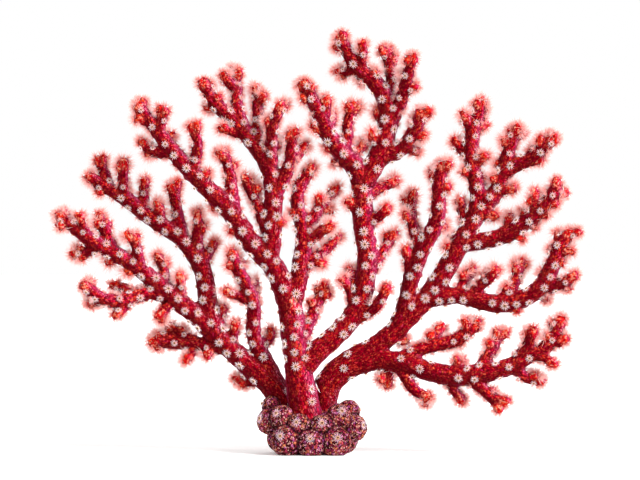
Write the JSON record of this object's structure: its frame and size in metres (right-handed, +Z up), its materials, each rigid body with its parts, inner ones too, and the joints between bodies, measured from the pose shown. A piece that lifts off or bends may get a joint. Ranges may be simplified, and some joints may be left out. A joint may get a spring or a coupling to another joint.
{
  "type": "red finger gorgonian",
  "caption": "Fan-shaped coral colony with knobbly finger branches that rise from a lumpy foot, cut flat to stand upright.",
  "frame": {"origin": "middle of the foot's flat underside, on the table", "axes": "+Z up; +X to the viewer's right along the fan; -Y towards the viewer, out of the fan's front"},
  "size_m": [0.3687, 0.0658, 0.2963],
  "materials": {
    "red_flesh": "satin",
    "holdfast_crust": "matte",
    "polyps": "satin"
  },
  "bodies": {
    "root": {"holdfast": "holdfast_crust", "trunk": "red_flesh", "great_left_bough": "red_flesh", "left_crown": "red_flesh", "left_crown_side": "red_flesh", "middle_spray": "red_flesh", "tall_bough": "red_flesh", "crown_left": "red_flesh", "crown_right": "red_flesh", "crown_side": "red_flesh", "left_bough": "red_flesh", "left_under_spray": "red_flesh", "left_low_spray": "red_flesh", "left_upper_bough": "red_flesh", "inner_left_bough": "red_flesh", "right_bough": "red_flesh", "right_mid_bough": "red_flesh", "right_low_bough": "red_flesh", "right_low_upper": "red_flesh", "right_side_bough": "red_flesh", "right_spire": "red_flesh", "right_fan": "red_flesh", "right_arm": "red_flesh"}
  },
  "joints": []
}
